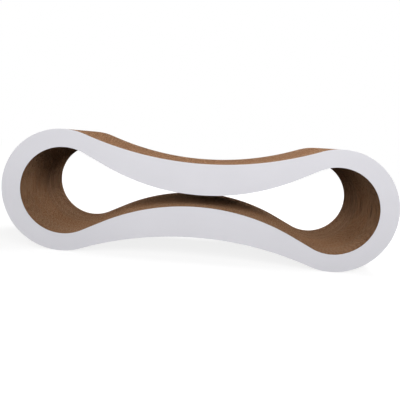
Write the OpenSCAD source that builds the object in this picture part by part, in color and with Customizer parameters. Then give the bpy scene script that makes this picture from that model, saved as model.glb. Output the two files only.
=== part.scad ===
// Cardboard cat scratcher: a lounge in the shape of a figure of eight on its side.
// It is a stack of corrugated boards, all die-cut to one outline, glued face to face
// and closed by a white paperboard sheet in front and behind. X runs along its length,
// its front looks to -Y, and it stands on its two round ends at Z = 0.

/* [Outer outline] */
// Length over both round ends
body_length = 864; // [760:1:960]
// Height of the body, which is the outer diameter of each round end
end_diameter = 266.7; // [250:0.1:290]
// Height of the body at its waist, from the hollow of the seat to the hollow below
waist_height = 161.4; // [145:0.1:175]
// Length of each straight flank between a round end and the curve of the waist
outer_flank = 6; // [2:0.5:30]

/* [Inner outline] */
// Diameter of the round part of each loop
loop_diameter = 189.4; // [170:0.1:200]
// Width of the band between each loop and the tip of the round end
tip_band = 41.2; // [32:0.1:60]
// Height of the gap between the upper and the lower run at the waist
waist_gap = 26; // [12:0.5:40]
// Length of each straight flank between a loop and the curve of the gap
inner_flank = 52; // [10:1:80]

/* [Corrugated boards] */
// Number of boards in the stack
board_count = 54; // [8:1:56]
// Thickness of one board over both its liners
board_thickness = 4.9; // [3:0.1:6]
// Thickness of the flat paper liner on each side of a board
liner_thickness = 0.35; // [0.2:0.05:0.8]
// Depth of the groove between the liners, where the open flutes show at a cut edge
flute_setback = 1; // [0.3:0.1:3]

/* [Face sheets] */
// Thickness of the white paperboard sheet on the front and on the back
sheet_thickness = 1.2; // [0.5:0.1:4]

/* [Hidden] */
$fn = 180;

// Corner of an arc is drawn this far past the line it meets, so that the two cross
seam = 0.02;

end_radius = end_diameter / 2;
loop_radius = loop_diameter / 2;
end_offset = body_length / 2 - end_radius;
loop_offset = body_length / 2 - tip_band - loop_radius;
stack_depth = board_count * board_thickness + 2 * sheet_thickness;
core_thickness = board_thickness - 2 * liner_thickness;

white = "whitesmoke";
kraft = "peru";

function board_name(number) = str("board_", number < 10 ? "0" : "", number);

// Radius of the waist curve that a straight flank joins smoothly to the round end
function waist_radius(offset, radius, half_waist, flank) =
    (offset * offset + half_waist * half_waist - radius * radius - flank * flank)
    / (2 * (radius - half_waist));

// Slope of the flank, which is how far each arc turns before it meets the flank
function flank_slope(offset, radius, half_waist, flank) =
    let (waist_r = waist_radius(offset, radius, half_waist, flank))
    atan2(offset, half_waist + waist_r) - atan2(flank, radius + waist_r);

// The other half of a list of points, mirrored left to right and run backwards
function mirrored_left(points) =
    [for (i = [len(points) - 1 : -1 : 0]) [-points[i].x, points[i].y]];

// The lower half of a closed outline, without the two points on the centre line
function mirrored_down(points) =
    [for (i = [len(points) - 2 : -1 : 1]) [points[i].x, -points[i].y]];

// Outline like a bone: two round ends joined by straight flanks and a hollow waist
module bone(offset, radius, half_waist, flank) {
    waist_r = waist_radius(offset, radius, half_waist, flank);
    slope = flank_slope(offset, radius, half_waist, flank);
    end_corner = [offset - (radius - seam) * sin(slope), (radius - seam) * cos(slope)];
    waist_corner = [waist_r * sin(slope), half_waist + waist_r * (1 - cos(slope))];
    right = [[offset, 0], end_corner, waist_corner];
    upper = concat(right, mirrored_left(right));
    for (side = [-1, 1])
        translate([side * offset, 0])
            circle(radius);
    difference() {
        polygon(concat(upper, mirrored_down(upper)));
        for (side = [-1, 1])
            translate([0, side * (half_waist + waist_r + seam)])
                circle(waist_r + 2 * seam);
    }
}

// The one outline that every board and sheet is cut to, drawn in by a setback all round
module die_cut_outline(setback = 0) {
    difference() {
        bone(end_offset, end_radius - setback, waist_height / 2 - setback, outer_flank);
        bone(loop_offset, loop_radius + setback, waist_gap / 2 + setback, inner_flank);
    }
}

// A flat layer of that outline, standing upright with its front surface at the given place
module layer(front, thickness, setback = 0) {
    translate([0, front + thickness, end_radius])
        rotate([90, 0, 0])
            linear_extrude(thickness)
                die_cut_outline(setback);
}

// One corrugated board: a liner, the fluted core between them and a second liner
module board(number) {
    front = (number - 1) * board_thickness + sheet_thickness - stack_depth / 2;
    color(kraft) {
        layer(front, liner_thickness);
        layer(front + liner_thickness, core_thickness, flute_setback);
        layer(front + liner_thickness + core_thickness, liner_thickness);
    }
}

module front_face_sheet() {
    color(white) layer(-stack_depth / 2, sheet_thickness);
}

module rear_face_sheet() {
    color(white) layer(stack_depth / 2 - sheet_thickness, sheet_thickness);
}

front_face_sheet();
rear_face_sheet();
for (number = [1 : board_count])
    board(number);
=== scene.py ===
import logging
import math
import random
from collections.abc import Iterator, Sequence
from contextlib import contextmanager
from dataclasses import dataclass
from enum import Enum

import bpy
from mathutils import Matrix, Vector


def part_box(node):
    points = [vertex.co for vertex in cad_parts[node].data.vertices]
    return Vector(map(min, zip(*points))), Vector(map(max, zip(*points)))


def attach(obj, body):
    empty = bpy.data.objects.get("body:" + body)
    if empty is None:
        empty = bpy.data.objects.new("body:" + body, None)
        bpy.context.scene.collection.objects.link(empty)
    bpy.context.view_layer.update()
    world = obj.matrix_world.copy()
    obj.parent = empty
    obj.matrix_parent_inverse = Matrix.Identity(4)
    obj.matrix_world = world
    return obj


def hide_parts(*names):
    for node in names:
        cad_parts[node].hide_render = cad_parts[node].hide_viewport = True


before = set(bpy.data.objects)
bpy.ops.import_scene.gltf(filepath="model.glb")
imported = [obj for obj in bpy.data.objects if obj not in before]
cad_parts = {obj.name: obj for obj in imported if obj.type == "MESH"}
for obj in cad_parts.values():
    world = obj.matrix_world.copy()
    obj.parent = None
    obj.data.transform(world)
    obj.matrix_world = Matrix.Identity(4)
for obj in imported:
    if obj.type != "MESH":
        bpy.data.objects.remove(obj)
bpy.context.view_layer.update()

MM = 0.001
BODY = "root"

# Distance from one flute of the corrugated board to the next
FLUTE_PITCH = 8.64 * MM

# Distance within which two points of a mesh are one
WELD = 0.01 * MM

# A face is the paper's own where its normal points along the depth by more than this share
FACING = 0.5

# Angle in radians that Blender's wave texture turns through in one unit at a scale of 1
WAVE_TURNS = 20

# Values of a noise pattern between which one colour passes into the other
SOFT_STOPS = (0.3, 0.7)
FIRM_STOPS = (0.35, 0.65)

log = logging.getLogger("cat_scratcher")

Colour = tuple[float, float, float]
Axes = tuple[float, float, float]

WHITE: Colour = (1.0, 1.0, 1.0)


class Slot(Enum):
    """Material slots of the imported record."""

    WHITE = "white_paperboard"
    KRAFT = "kraft_corrugated"


class Surface(Enum):
    """Kinds of surface on a board or a sheet, in the order of its material slots."""

    FACE = 0
    CUT_EDGE = 1
    FLUTING = 2


class Shade(Enum):
    """Shades of kraft paper, as batches of board differ within one stack."""

    PALE = (1.06, 1.05, 1.04)
    MIDDLE = (1.0, 1.0, 1.0)
    WARM = (1.02, 0.97, 0.92)
    DEEP = (0.93, 0.92, 0.91)


class Turn(Enum):
    """Half turns that lay a die-cut board on itself, with its flutes in another place."""

    NONE = None
    END_OVER_END = "Y"
    FACE_DOWN = "X"
    ABOUT_FACE = "Z"


@contextmanager
def editing(piece: bpy.types.Object) -> Iterator[None]:
    """Opens one piece in edit mode with all of it selected, and leaves edit mode after.

    Args:
        piece: The mesh object to edit.
    """
    focus(piece)
    bpy.ops.object.mode_set(mode="EDIT")
    bpy.ops.mesh.select_all(action="SELECT")
    yield
    bpy.ops.object.mode_set(mode="OBJECT")


def focus(*pieces: bpy.types.Object) -> None:
    """Selects some pieces alone, and makes the first of them the active one.

    Args:
        pieces: The pieces to select.
    """
    bpy.ops.object.select_all(action="DESELECT")
    for piece in pieces:
        piece.select_set(True)
    bpy.context.view_layer.objects.active = pieces[0]


def joined(*pieces: bpy.types.Object) -> bpy.types.Object:
    """Joins pieces into one.

    Args:
        pieces: The pieces to join.

    Returns:
        The first of them, which now holds them all.
    """
    focus(*pieces)
    bpy.ops.object.join()
    return pieces[0]


def apply_modifier(piece: bpy.types.Object, kind: str, **settings: object) -> None:
    """Puts a modifier on a piece and applies it at once.

    Args:
        piece: The mesh object.
        kind: Blender's name for the type of modifier.
        settings: Values for the modifier's own properties.
    """
    focus(piece)
    modifier = piece.modifiers.new(kind.lower(), kind)
    for name, value in settings.items():
        setattr(modifier, name, value)
    bpy.ops.object.modifier_apply(modifier=modifier.name)


def start_point(name: str, place: Axes) -> bpy.types.Object:
    """Adds a mesh of a single point, from which an outline is drawn.

    Args:
        name: Name of the new object.
        place: Where the point lies, in the row's frame.

    Returns:
        The mesh object, with its origin at the frame's origin.
    """
    bpy.ops.object.select_all(action="DESELECT")
    bpy.ops.mesh.primitive_plane_add(size=MM, location=place)
    piece = bpy.context.object
    piece.name = name
    bpy.ops.object.transform_apply(location=True, rotation=True, scale=True)
    with editing(piece):
        bpy.ops.mesh.merge(type="CENTER")
    return piece


def extrude_by(offset: Axes) -> None:
    """Extrudes what is selected in edit mode along an offset."""
    bpy.ops.mesh.extrude_region_move(TRANSFORM_OT_translate={"value": offset})


def hand_over(piece: bpy.types.Object, node: str) -> None:
    """Lets a finished piece stand for its node, on the one body that the object has.

    Args:
        piece: The finished piece.
        node: The node that it replaces.
    """
    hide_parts(node)
    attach(piece, BODY)


@dataclass(frozen=True)
class Smoothness:
    """How many straight steps stand for each curve of an outline."""

    end: int
    waist: int


@dataclass(frozen=True)
class BoneCurve:
    """An outline like a bone: two round ends, straight flanks and a hollow waist.

    The flank joins both arcs smoothly, so four sizes fix the whole outline.
    """

    end_offset: float
    end_radius: float
    half_waist: float
    flank: float

    @property
    def waist_radius(self) -> float:
        """Radius of the hollow arc that the flank joins to the round end."""
        squares = self.end_offset**2 + self.half_waist**2 - self.end_radius**2 - self.flank**2
        return squares / (2 * (self.end_radius - self.half_waist))

    @property
    def slope(self) -> float:
        """Slope of the flank, which is how far each arc turns before it meets it."""
        whole = math.atan2(self.end_offset, self.half_waist + self.waist_radius)
        return whole - math.atan2(self.flank, self.end_radius + self.waist_radius)

    def draw_quarter(
        self, name: str, middle: float, front: float, smoothness: Smoothness
    ) -> bpy.types.Object:
        """Draws the outline from the tip of its right end to the top of its waist.

        Args:
            name: Name of the new object.
            middle: Height of the outline's centre line.
            front: Where the outline lies in depth.
            smoothness: Steps for each of its arcs.

        Returns:
            A mesh object of one open chain of edges.
        """
        tip = (self.end_offset + self.end_radius, front, middle)
        chain = start_point(name, tip)
        run = (-self.flank * math.cos(self.slope), 0.0, -self.flank * math.sin(self.slope))
        with editing(chain):
            bpy.ops.mesh.spin(
                steps=smoothness.end,
                angle=math.pi / 2 + self.slope,
                center=(self.end_offset, 0.0, middle),
                axis=(0.0, 1.0, 0.0),
            )
            extrude_by(run)
            bpy.ops.mesh.spin(
                steps=smoothness.waist,
                angle=-self.slope,
                center=(0.0, 0.0, middle + self.half_waist + self.waist_radius),
                axis=(0.0, 1.0, 0.0),
            )
        return chain


@dataclass(frozen=True)
class DieCut:
    """The one outline that every board and sheet is cut to, as a ribbon between two curves."""

    length: float = 864 * MM
    end_diameter: float = 266.7 * MM
    waist_height: float = 161.4 * MM
    outer_flank: float = 6 * MM
    loop_diameter: float = 189.4 * MM
    tip_band: float = 41.2 * MM
    waist_gap: float = 26 * MM
    inner_flank: float = 52 * MM

    @property
    def middle(self) -> float:
        """Height of the centre line over the floor."""
        return self.end_diameter / 2

    @property
    def outer(self) -> BoneCurve:
        """The outer edge of the ribbon."""
        radius = self.end_diameter / 2
        return BoneCurve(self.length / 2 - radius, radius, self.waist_height / 2, self.outer_flank)

    @property
    def inner(self) -> BoneCurve:
        """The edge of the two loops and the gap that joins them.

        Returns:
            The sizes of that edge.
        """
        radius = self.loop_diameter / 2
        offset = self.length / 2 - self.tip_band - radius
        return BoneCurve(offset, radius, self.waist_gap / 2, self.inner_flank)

    def layer(
        self, name: str, front: float, thickness: float, smoothness: Smoothness
    ) -> bpy.types.Object:
        """Makes a flat closed layer of the outline, standing upright.

        Args:
            name: Name of the new object.
            front: Where its front surface lies in depth.
            thickness: Its thickness, towards the rear.
            smoothness: Steps for each arc of the outline.

        Returns:
            A closed mesh object whose faces point outwards.
        """
        ribbon = joined(
            self.outer.draw_quarter(name, self.middle, front, smoothness),
            self.inner.draw_quarter(f"{name}_inner", self.middle, front, smoothness),
        )
        with editing(ribbon):
            bpy.ops.mesh.bridge_edge_loops()
        bpy.ops.object.empty_add(location=(0.0, 0.0, self.middle))
        centre = bpy.context.object
        apply_modifier(
            ribbon,
            "MIRROR",
            use_axis=(True, False, True),
            mirror_object=centre,
            merge_threshold=WELD,
        )
        bpy.data.objects.remove(centre)
        with editing(ribbon):
            extrude_by((0.0, thickness, 0.0))
            bpy.ops.mesh.select_all(action="SELECT")
            bpy.ops.mesh.normals_make_consistent(inside=False)
        return ribbon


def dress(
    piece: bpy.types.Object, materials: Sequence[bpy.types.Material], flat: Surface
) -> None:
    """Dresses a piece, with one material where the die cut it and one on the paper's own faces.

    Args:
        piece: A flat layer of the outline, or a fluted one.
        materials: A material for each kind of surface, in their order.
        flat: Kind of the faces that look to the front or the rear, if only aslant.
    """
    piece.data.materials.clear()
    for material in materials:
        piece.data.materials.append(material)
    for polygon in piece.data.polygons:
        surface = flat if abs(polygon.normal.y) > FACING else Surface.CUT_EDGE
        polygon.material_index = surface.value


@dataclass(frozen=True)
class Pattern:
    """A noise pattern, with its cycles in a metre and its octaves of finer noise.

    The stretch is the share of those cycles along each axis, and a small share draws streaks.
    """

    scale: float
    detail: float
    stretch: Axes = (1, 1, 1)


def opaque(colour: Colour) -> tuple[float, float, float, float]:
    """The colour as a node takes it, with full cover."""
    return (*colour, 1.0)


class Graph:
    """A material's nodes while a finish is being written."""

    def __init__(self, name: str) -> None:
        """Starts a material whose surface is one Principled shader.

        Args:
            name: Name of the material.
        """
        self.material = bpy.data.materials.new(name)
        self.material.use_nodes = True
        self.nodes = self.material.node_tree.nodes
        self.links = self.material.node_tree.links
        self.shader = self.nodes["Principled BSDF"]
        self.place = self.nodes.new("ShaderNodeTexCoord").outputs["Object"]

    def noise(self, pattern: Pattern) -> bpy.types.NodeSocket:
        """Adds a noise pattern in the object's own space.

        Args:
            pattern: Its fineness and direction.

        Returns:
            The pattern's value.
        """
        mapping = self.nodes.new("ShaderNodeMapping")
        mapping.inputs["Scale"].default_value = pattern.stretch
        self.links.new(self.place, mapping.inputs["Vector"])
        noise = self.nodes.new("ShaderNodeTexNoise")
        noise.inputs["Scale"].default_value = pattern.scale
        noise.inputs["Detail"].default_value = pattern.detail
        self.links.new(mapping.outputs["Vector"], noise.inputs["Vector"])
        return noise.outputs["Fac"]

    def ramp(
        self, value: bpy.types.NodeSocket, stops: tuple[float, float], start: Colour, end: Colour
    ) -> bpy.types.NodeSocket:
        """Turns a value into a colour between two stops.

        Args:
            value: The value to turn.
            stops: Where the first colour ends and where the second begins.
            start: Colour below the low stop.
            end: Colour above the high stop.

        Returns:
            The colour.
        """
        node = self.nodes.new("ShaderNodeValToRGB")
        for element, stop, colour in zip(node.color_ramp.elements, stops, (start, end)):
            element.position = stop
            element.color = opaque(colour)
        self.links.new(value, node.inputs["Fac"])
        return node.outputs["Color"]

    def blend(
        self,
        share: float,
        first: bpy.types.NodeSocket,
        second: bpy.types.NodeSocket,
        mode: str = "MIX",
    ) -> bpy.types.NodeSocket:
        """Blends two colours.

        Args:
            share: How much of the second colour is used.
            first: The colour underneath.
            second: The colour on top.
            mode: Blender's name for the way they blend.

        Returns:
            The blended colour.
        """
        node = self.nodes.new("ShaderNodeMix")
        node.data_type = "RGBA"
        node.blend_type = mode
        node.inputs["Factor"].default_value = share
        self.links.new(first, node.inputs["A"])
        self.links.new(second, node.inputs["B"])
        return node.outputs["Result"]

    def mean(
        self, first: bpy.types.NodeSocket, second: bpy.types.NodeSocket, share: float
    ) -> bpy.types.NodeSocket:
        """Averages two values.

        Args:
            first: The one value.
            second: The other value.
            share: Weight of the second value.

        Returns:
            Their weighted mean.
        """
        node = self.nodes.new("ShaderNodeMix")
        node.inputs["Factor"].default_value = share
        self.links.new(first, node.inputs["A"])
        self.links.new(second, node.inputs["B"])
        return node.outputs["Result"]

    def ridges(self, pitch: float, bend: float, bend_scale: float) -> bpy.types.NodeSocket:
        """Adds upright ridges that follow each other along the object's length.

        Args:
            pitch: Distance from one ridge to the next.
            bend: How far noise bends them.
            bend_scale: How fine that noise is.

        Returns:
            The height of the ridges, from 0 to 1.
        """
        wave = self.nodes.new("ShaderNodeTexWave")
        wave.inputs["Scale"].default_value = 2 * math.pi / (WAVE_TURNS * pitch)
        wave.inputs["Distortion"].default_value = bend
        wave.inputs["Detail Scale"].default_value = bend_scale
        self.links.new(self.place, wave.inputs["Vector"])
        return wave.outputs["Fac"]

    def rise(self, height: bpy.types.NodeSocket, depth: float) -> None:
        """Bumps the surface by a pattern.

        Args:
            height: The pattern's value.
            depth: How deep it goes, in metres.
        """
        bump = self.nodes.new("ShaderNodeBump")
        bump.inputs["Distance"].default_value = depth
        self.links.new(height, bump.inputs["Height"])
        self.links.new(bump.outputs["Normal"], self.shader.inputs["Normal"])

    def colour(self, colour: bpy.types.NodeSocket) -> None:
        """Gives the surface its colour."""
        self.links.new(colour, self.shader.inputs["Base Color"])

    def roughness(self, value: bpy.types.NodeSocket, low: float, high: float) -> None:
        """Lets the roughness follow a pattern.

        Args:
            value: The pattern's value.
            low: Roughness where the pattern is 0.
            high: Roughness where the pattern is 1.
        """
        node = self.nodes.new("ShaderNodeMapRange")
        node.inputs["To Min"].default_value = low
        node.inputs["To Max"].default_value = high
        self.links.new(value, node.inputs["Value"])
        self.links.new(node.outputs["Result"], self.shader.inputs["Roughness"])


def shaded(colour: Colour, shade: Shade) -> Colour:
    """The colour in one shade of the paper."""
    return tuple(channel * factor for channel, factor in zip(colour, shade.value))


@dataclass(frozen=True)
class KraftFinish:
    """Raw brown paper: soft clouds, fibres along the web, dark flecks of bark, and fuzz."""

    name: str
    pale: Colour
    deep: Colour
    fibre: Pattern
    fleck: Colour
    fleck_from: float
    bump: float
    rough: tuple[float, float]
    cloud: Pattern = Pattern(14, 3)
    fibre_share: float = 0.5
    speck: Pattern = Pattern(1150, 2)
    fleck_edge: float = 0.04
    fleck_share: float = 0.8
    gloss: float = 0.04
    fuzz: float = 0.0
    fuzz_tint: Colour = (0.9, 0.64, 0.44)

    def material(self, shade: Shade) -> bpy.types.Material:
        """Writes the finish as a material in one shade.

        Args:
            shade: The batch of board that it is for.

        Returns:
            The new material.
        """
        graph = Graph(f"{self.name}_{shade.name.lower()}")
        graph.shader.inputs["Specular IOR Level"].default_value = self.gloss
        graph.shader.inputs["Sheen Weight"].default_value = self.fuzz
        graph.shader.inputs["Sheen Tint"].default_value = opaque(self.fuzz_tint)
        pale, deep = shaded(self.pale, shade), shaded(self.deep, shade)
        fibre = graph.noise(self.fibre)
        clouds = graph.ramp(graph.noise(self.cloud), SOFT_STOPS, deep, pale)
        strands = graph.ramp(fibre, SOFT_STOPS, deep, pale)
        paper = graph.blend(self.fibre_share, clouds, strands)
        fleck_stops = (self.fleck_from, self.fleck_from + self.fleck_edge)
        flecks = graph.ramp(graph.noise(self.speck), fleck_stops, WHITE, self.fleck)
        graph.colour(graph.blend(self.fleck_share, paper, flecks, "MULTIPLY"))
        graph.roughness(fibre, *self.rough)
        graph.rise(fibre, self.bump)
        return graph.material


@dataclass(frozen=True)
class WhiteFinish:
    """White printed paperboard: smooth, a trace uneven, with the flutes just telling through."""

    name: str = "white_paperboard"
    bright: Colour = (0.785, 0.777, 0.82)
    dull: Colour = (0.765, 0.757, 0.80)
    cloud: Pattern = Pattern(11, 4)
    fibre: Pattern = Pattern(900, 3, (0.35, 1, 1))
    rough: tuple[float, float] = (0.5, 0.62)
    gloss: float = 0.35
    flute_share: float = 0.35
    flute_bend: float = 0.6
    flute_bend_scale: float = 0.3
    depth: float = 0.04 * MM

    def material(self) -> bpy.types.Material:
        """Writes the finish of the flat white faces.

        Returns:
            The new material.
        """
        graph = Graph(self.name)
        graph.shader.inputs["Specular IOR Level"].default_value = self.gloss
        fibre = graph.noise(self.fibre)
        flutes = graph.ridges(FLUTE_PITCH, self.flute_bend, self.flute_bend_scale)
        graph.colour(graph.ramp(graph.noise(self.cloud), FIRM_STOPS, self.dull, self.bright))
        graph.roughness(fibre, *self.rough)
        graph.rise(graph.mean(fibre, flutes, self.flute_share), self.depth)
        return graph.material


@dataclass(frozen=True)
class CutBoardFinish:
    """The bare cut edge of the white paperboard, dun with paler plies."""

    name: str = "white_paperboard_cut_edge"
    pale: Colour = (0.56, 0.45, 0.34)
    deep: Colour = (0.41, 0.31, 0.22)
    plies: Pattern = Pattern(2600, 2, (0.05, 1, 0.05))
    fibre: Pattern = Pattern(1500, 3)
    fibre_share: float = 0.4
    rough: tuple[float, float] = (0.8, 0.95)
    bump: float = 0.04 * MM

    def material(self) -> bpy.types.Material:
        """Writes the finish of the cut edge.

        Returns:
            The new material.
        """
        graph = Graph(self.name)
        fibre = graph.noise(self.fibre)
        layers = graph.ramp(graph.noise(self.plies), FIRM_STOPS, self.deep, self.pale)
        strands = graph.ramp(fibre, SOFT_STOPS, self.deep, self.pale)
        graph.colour(graph.blend(self.fibre_share, layers, strands))
        graph.roughness(fibre, *self.rough)
        graph.rise(fibre, self.bump)
        return graph.material


LINER_FINISH = KraftFinish(
    name="kraft_liner",
    pale=(0.335, 0.195, 0.112),
    deep=(0.275, 0.151, 0.082),
    fibre=Pattern(700, 4, (0.3, 1, 1)),
    fleck=(0.62, 0.55, 0.5),
    fleck_from=0.66,
    bump=0.05 * MM,
    rough=(0.78, 0.92),
)
CUT_EDGE_FINISH = KraftFinish(
    name="kraft_cut_edge",
    pale=(0.43, 0.272, 0.17),
    deep=(0.315, 0.186, 0.106),
    fibre=Pattern(1300, 4, (1, 0.4, 1)),
    fleck=(0.6, 0.52, 0.46),
    fleck_from=0.64,
    bump=0.09 * MM,
    rough=(0.88, 0.98),
    fuzz=0.25,
)
FLUTING_FINISH = KraftFinish(
    name="kraft_fluting",
    pale=(0.28, 0.153, 0.082),
    deep=(0.222, 0.116, 0.059),
    fibre=Pattern(620, 4, (1, 1, 0.35)),
    fleck=(0.6, 0.52, 0.46),
    fleck_from=0.64,
    bump=0.07 * MM,
    rough=(0.85, 0.97),
)


@dataclass
class CorrugatedBoard:
    """One die-cut board: two flat liners and a fluted paper that runs upright between them.

    The fluted paper is glued to the liners, so its crests sink into them a little. Before it
    is cut, it has spare flutes at its ends and stands out above and below the outline.
    """

    die: DieCut
    thickness: float
    liner_thickness: float = 0.35 * MM
    paper_thickness: float = 0.25 * MM
    flute_steps: int = 10
    crest_sink: float = 0.02 * MM
    spare_flutes: int = 2
    overhang: float = FLUTE_PITCH
    wander: float = 0.9 * MM
    wander_scale: float = 30 * MM
    crease: float = math.radians(60)
    smoothness: Smoothness = Smoothness(end=32, waist=16)

    @property
    def centre(self) -> Vector:
        """Middle of a board whose front face lies at zero depth."""
        return Vector((0.0, self.thickness / 2, self.die.middle))

    def flute_heights(self) -> list[float]:
        """Works out how one flute swings about the middle of the board.

        Returns:
            The height at each step of the flute, whose flat crests reach the liners.
        """
        room = self.thickness - 2 * self.liner_thickness - self.paper_thickness
        swing = room / 2 + self.crest_sink
        sines = [
            math.sin(2 * math.pi * step / self.flute_steps)
            for step in range(self.flute_steps + 1)
        ]
        return [swing * sine / max(sines) for sine in sines]

    def fluted_paper(self, phase: float) -> bpy.types.Object:
        """Makes the fluted paper of a board whose front face lies at zero depth.

        Args:
            phase: Share of a flute by which the first one is shifted.

        Returns:
            A closed mesh object, cut to the outline.
        """
        count = math.ceil(self.die.length / FLUTE_PITCH) + self.spare_flutes
        begin = (phase - count / 2) * FLUTE_PITCH
        heights = self.flute_heights()
        web = start_point("fluting", (begin, self.thickness / 2, -self.overhang))
        with editing(web):
            for now, after in zip(heights, heights[1:]):
                extrude_by((FLUTE_PITCH / self.flute_steps, after - now, 0.0))
        apply_modifier(
            web,
            "ARRAY",
            count=count,
            use_relative_offset=False,
            use_constant_offset=True,
            constant_offset_displace=(FLUTE_PITCH, 0.0, 0.0),
            use_merge_vertices=True,
            merge_threshold=WELD,
        )
        with editing(web):
            extrude_by((0.0, 0.0, self.die.end_diameter + 2 * self.overhang))
        apply_modifier(web, "SOLIDIFY", thickness=self.paper_thickness, offset=0.0)
        self.cut_out(web)
        self.let_wander(web, phase)
        return web

    def cut_out(self, web: bpy.types.Object) -> None:
        """Cuts the fluted paper to the outline, with a knife three boards deep.

        Args:
            web: The fluted paper as one upright sheet.
        """
        knife = self.die.layer("knife", -self.thickness, 3 * self.thickness, self.smoothness)
        apply_modifier(web, "BOOLEAN", operation="INTERSECT", solver="EXACT", object=knife)
        bpy.data.objects.remove(knife)

    def let_wander(self, web: bpy.types.Object, phase: float) -> None:
        """Shifts the flutes a little along the board, as no two of them are quite alike.

        Args:
            web: The fluted paper, cut to the outline.
            phase: Share of a flute, which gives each board that is cut another pattern.
        """
        cloud = bpy.data.textures.new("flute_wander", "CLOUDS")
        cloud.noise_scale = self.wander_scale * (1 + phase)
        apply_modifier(
            web,
            "DISPLACE",
            texture=cloud,
            texture_coords="LOCAL",
            direction="X",
            strength=self.wander,
            mid_level=0.5,
        )

    def build(
        self, name: str, phase: float, materials: Sequence[bpy.types.Material]
    ) -> bpy.types.Object:
        """Makes one whole board whose front face lies at zero depth.

        Args:
            name: Name of the new object.
            phase: Share of a flute by which its first one is shifted.
            materials: A material for each kind of surface, in their order.

        Returns:
            A mesh object with a material slot for each kind of surface.
        """
        liners = [
            self.die.layer(name, front, self.liner_thickness, self.smoothness)
            for front in (0.0, self.thickness - self.liner_thickness)
        ]
        web = self.fluted_paper(phase)
        for liner in liners:
            dress(liner, materials, Surface.FACE)
        dress(web, materials, Surface.FLUTING)
        board = joined(*liners, web)
        bpy.ops.object.shade_smooth_by_angle(angle=self.crease)
        return board


@dataclass
class BoardStack:
    """All the boards, glued face to face, each a copy of one of a few that were cut."""

    die: DieCut
    phases: int = 6
    slip: float = 0.15 * MM
    longest_batch: int = 6
    seed: int = 7

    def finishes(self) -> dict[Shade, list[bpy.types.Material]]:
        """Writes the materials of a board in each shade, in the order of its surfaces."""
        looks = (LINER_FINISH, CUT_EDGE_FINISH, FLUTING_FINISH)
        return {shade: [look.material(shade) for look in looks] for shade in Shade}

    def lay(
        self, pattern: bpy.types.Object, name: str, start: Vector, centre: Vector, turn: Turn
    ) -> bpy.types.Object:
        """Copies a board that was cut, turns it and lays it in the stack.

        Args:
            pattern: The board to copy.
            name: Name of the copy.
            start: The middle of the pattern.
            centre: Where the middle of the copy comes to lie.
            turn: The half turn that it is laid with.

        Returns:
            The copy, with its own mesh.
        """
        focus(pattern)
        bpy.ops.object.duplicate(linked=False)
        piece = bpy.context.object
        piece.name = name
        spin = Matrix.Rotation(math.pi, 4, turn.value) if turn.value else Matrix.Identity(4)
        piece.matrix_world = Matrix.Translation(centre) @ spin @ Matrix.Translation(-start)
        bpy.ops.object.transform_apply(location=True, rotation=True, scale=True)
        return piece

    def build(self) -> list[bpy.types.Object]:
        """Builds every board of the frame.

        Returns:
            The new pieces, from the front of the stack to its rear.
        """
        finishes = self.finishes()
        chance = random.Random(self.seed)
        nodes = sorted(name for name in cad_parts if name.startswith("board_"))
        low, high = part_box(nodes[0])
        board = CorrugatedBoard(self.die, high.y - low.y)
        patterns = [
            board.build(f"pattern_{number}", number / self.phases, finishes[Shade.MIDDLE])
            for number in range(self.phases)
        ]
        pieces: list[bpy.types.Object] = []
        batch: list[Shade] = []
        for node in nodes:
            batch = batch or [chance.choice(list(Shade))] * chance.randint(1, self.longest_batch)
            low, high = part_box(node)
            slip = Vector((chance.uniform(-1, 1), 0.0, chance.uniform(-1, 1))) * self.slip
            centre = Vector((0.0, (low.y + high.y) / 2, self.die.middle)) + slip
            pattern, turn = chance.choice(patterns), chance.choice(list(Turn))
            piece = self.lay(pattern, f"corrugated_{node}", board.centre, centre, turn)
            for slot, material in enumerate(finishes[batch.pop()]):
                piece.data.materials[slot] = material
            hand_over(piece, node)
            pieces.append(piece)
        for pattern in patterns:
            bpy.data.objects.remove(pattern)
        return pieces


@dataclass
class FaceSheet:
    """A white paperboard sheet that closes the stack in front or behind."""

    die: DieCut
    node: str
    edge_round: float = 0.2 * MM
    edge_segments: int = 2
    corner: float = math.radians(60)
    crease: float = math.radians(50)
    face_weight: int = 100
    smoothness: Smoothness = Smoothness(end=96, waist=48)

    def build(self, name: str, materials: Sequence[bpy.types.Material]) -> bpy.types.Object:
        """Makes the sheet where its node lies.

        Args:
            name: Name of the new piece.
            materials: Material of the flat faces and of the cut edges.

        Returns:
            The finished piece.
        """
        low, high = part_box(self.node)
        sheet = self.die.layer(name, low.y, high.y - low.y, self.smoothness)
        dress(sheet, materials, Surface.FACE)
        apply_modifier(
            sheet,
            "BEVEL",
            width=self.edge_round,
            segments=self.edge_segments,
            limit_method="ANGLE",
            angle_limit=self.corner,
            material=Surface.FACE.value,
        )
        bpy.ops.object.shade_smooth_by_angle(angle=self.crease)
        apply_modifier(sheet, "WEIGHTED_NORMAL", weight=self.face_weight, keep_sharp=True)
        hand_over(sheet, self.node)
        return sheet


@dataclass(frozen=True)
class Viewpoint:
    """The photograph's camera, with its angles in radians and its lens in millimetres."""

    place: Axes = (0.02336, -1.06918, 0.26295)
    heading: float = 0.0217046
    pitch: float = -0.1345570
    roll: float = 0.0742379
    lens: float = 39.326
    sensor: float = 36.0
    nearest: float = 0.01

    def set_up(self) -> None:
        """Adds the camera and makes it the scene's own."""
        bpy.ops.object.camera_add(location=self.place)
        camera = bpy.context.object
        camera.name = "camera"
        turn = Matrix.Rotation(self.heading, 4, "Z")
        turn @= Matrix.Rotation(math.pi / 2 + self.pitch, 4, "X")
        turn @= Matrix.Rotation(self.roll, 4, "Z")
        camera.matrix_world = Matrix.Translation(self.place) @ turn
        camera.data.sensor_width = self.sensor
        camera.data.lens = self.lens
        camera.data.clip_start = self.nearest
        bpy.context.scene.camera = camera


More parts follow.
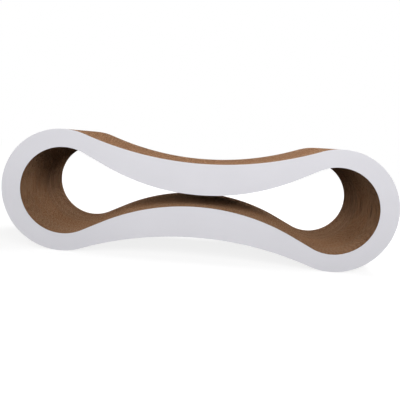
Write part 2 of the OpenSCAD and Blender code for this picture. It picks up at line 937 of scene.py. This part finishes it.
def seen_as_backdrop(tree: bpy.types.NodeTree) -> bpy.types.NodeSocket:
    """A value that is 1 where the camera, a reflection or a clear piece shows the backdrop.

    Args:
        tree: Nodes of the floor's material or of the world.

    Returns:
        The value.
    """
    path = tree.nodes.new("ShaderNodeLightPath")
    value = path.outputs["Is Camera Ray"]
    for kind in ("Is Glossy Ray", "Is Transmission Ray"):
        either = tree.nodes.new("ShaderNodeMath")
        either.operation = "MAXIMUM"
        tree.links.new(value, either.inputs[0])
        tree.links.new(path.outputs[kind], either.inputs[1])
        value = either.outputs["Value"]
    return value


def show_backdrop(
    tree: bpy.types.NodeTree, output: str, lit: bpy.types.Node, seen: bpy.types.Node
) -> None:
    """Lets a backdrop light the object with one shader, and be seen with another.

    Args:
        tree: Nodes of the floor's material or of the world.
        output: Name of the tree's output node.
        lit: The shader that the object's light comes from.
        seen: The shader that the camera sees.
    """
    choice = tree.nodes.new("ShaderNodeMixShader")
    tree.links.new(seen_as_backdrop(tree), choice.inputs["Fac"])
    tree.links.new(lit.outputs[0], choice.inputs[1])
    tree.links.new(seen.outputs[0], choice.inputs[2])
    tree.links.new(choice.outputs[0], tree.nodes[output].inputs["Surface"])


@dataclass(frozen=True)
class SoftBox:
    """A square studio lamp that looks at one point."""

    name: str
    place: Axes
    side: float
    power: float
    target: Axes = (0.0, 0.0, 0.13)

    def hang(self) -> None:
        """Adds the lamp and turns it to its target."""
        bpy.ops.object.light_add(type="AREA", location=self.place)
        lamp = bpy.context.object
        lamp.name = self.name
        lamp.data.shape = "SQUARE"
        lamp.data.size = self.side
        lamp.data.energy = self.power
        look = Vector(self.target) - Vector(self.place)
        lamp.rotation_euler = look.to_track_quat("-Z", "Y").to_euler()


@dataclass
class Studio:
    """The pale floor, the soft lamps and the white surround."""

    floor_side: float = 12.0
    floor_drop: float = 0.4 * MM
    floor_pale: Colour = (0.055, 0.055, 0.057)
    floor_dull: Colour = (0.05, 0.05, 0.052)
    floor_cloud: Pattern = Pattern(2.5, 2)
    floor_rough: float = 0.9
    matt: float = 0.24
    near_glow: float = 0.84
    far_glow: float = 1.0
    glow_reach: tuple[float, float] = (0.5, 1.6)
    surround: float = 0.0
    lamps: tuple[SoftBox, ...] = (
        SoftBox("front_lamp", (0.0, -1.7, 0.8), 0.8, 9.5),
        SoftBox("near_lamp", (0.05, -1.25, 0.9), 0.6, 2.9),
        SoftBox("left_lamp", (-1.0, -1.6, 0.5), 0.8, 6.6),
        SoftBox("right_lamp", (1.0, -1.4, 1.1), 0.8, 12.2),
        SoftBox("top_lamp", (0.5, 0.15, 1.2), 0.5, 10.5),
        SoftBox("rear_lamp", (0.6, 1.3, 1.4), 0.8, 30.0),
        SoftBox("left_end_lamp", (-1.6, 0.35, 0.45), 0.6, 5.0),
        SoftBox("right_end_lamp", (1.6, 0.35, 0.45), 0.6, 5.0),
    )

    def glowing_floor(self, graph: Graph) -> bpy.types.Node:
        """Writes what the camera sees of the floor: a glow that fades to white, and the shadow.

        Args:
            graph: The floor's own nodes.

        Returns:
            The shader.
        """
        distance = graph.nodes.new("ShaderNodeVectorMath")
        distance.operation = "LENGTH"
        graph.links.new(graph.place, distance.inputs[0])
        rise = graph.nodes.new("ShaderNodeMapRange")
        near, far = self.glow_reach
        rise.inputs["From Min"].default_value = near
        rise.inputs["From Max"].default_value = far
        rise.inputs["To Min"].default_value = self.near_glow
        rise.inputs["To Max"].default_value = self.far_glow
        graph.links.new(distance.outputs["Value"], rise.inputs["Value"])
        glow = graph.nodes.new("ShaderNodeEmission")
        graph.links.new(rise.outputs["Result"], glow.inputs["Strength"])
        matt = graph.nodes.new("ShaderNodeBsdfDiffuse")
        matt.inputs["Color"].default_value = opaque((self.matt, self.matt, self.matt))
        both = graph.nodes.new("ShaderNodeAddShader")
        graph.links.new(glow.outputs[0], both.inputs[0])
        graph.links.new(matt.outputs[0], both.inputs[1])
        return both

    def floor_material(self) -> bpy.types.Material:
        """Writes the floor, which looks white behind the object and still takes its shadow.

        Returns:
            The new material.
        """
        graph = Graph("studio_floor")
        cloud = graph.noise(self.floor_cloud)
        graph.colour(graph.ramp(cloud, SOFT_STOPS, self.floor_dull, self.floor_pale))
        graph.shader.inputs["Roughness"].default_value = self.floor_rough
        seen = self.glowing_floor(graph)
        show_backdrop(graph.material.node_tree, "Material Output", graph.shader, seen)
        return graph.material

    def lay_floor(self) -> None:
        """Adds the floor just under the object."""
        bpy.ops.object.select_all(action="DESELECT")
        bpy.ops.mesh.primitive_plane_add(size=self.floor_side, location=(0, 0, -self.floor_drop))
        floor = bpy.context.object
        floor.name = "studio_floor"
        floor.data.materials.append(self.floor_material())

    def surround_with_white(self) -> None:
        """Sets a world that gives no light and is white where it is seen."""
        world = bpy.data.worlds.new("surround")
        world.use_nodes = True
        bpy.context.scene.world = world
        dim = world.node_tree.nodes["Background"]
        dim.inputs["Color"].default_value = opaque(WHITE)
        dim.inputs["Strength"].default_value = self.surround
        white = world.node_tree.nodes.new("ShaderNodeBackground")
        white.inputs["Color"].default_value = opaque(WHITE)
        show_backdrop(world.node_tree, "World Output", dim, white)

    def build(self) -> None:
        """Sets up the object's surroundings, lamp by lamp."""
        self.lay_floor()
        self.surround_with_white()
        for lamp in self.lamps:
            lamp.hang()
            log.info("%s, %.1f W", lamp.name, lamp.power)


def report(pieces: list[bpy.types.Object]) -> None:
    """Logs the triangles of each piece and of them all.

    Args:
        pieces: The finished pieces.
    """
    total = 0
    for piece in pieces:
        piece.data.calc_loop_triangles()
        count = len(piece.data.loop_triangles)
        total += count
        log.info("%s: %d triangles", piece.name, count)
    log.info("%d pieces, %d triangles", len(pieces), total)


def main() -> None:
    """Builds the camera, the boards, the face sheets and the studio."""
    logging.basicConfig(level=logging.INFO, format="%(message)s")
    bpy.context.scene.view_settings.view_transform = "Standard"
    Viewpoint().set_up()
    die = DieCut()
    pieces = BoardStack(die).build()
    paperboard = (WhiteFinish().material(), CutBoardFinish().material())
    for side in ("front", "rear"):
        sheet = FaceSheet(die, f"{side}_face_sheet")
        pieces.append(sheet.build(f"white_{side}_sheet", paperboard))
    Studio().build()
    report(pieces)


if __name__ == "__main__":
    main()
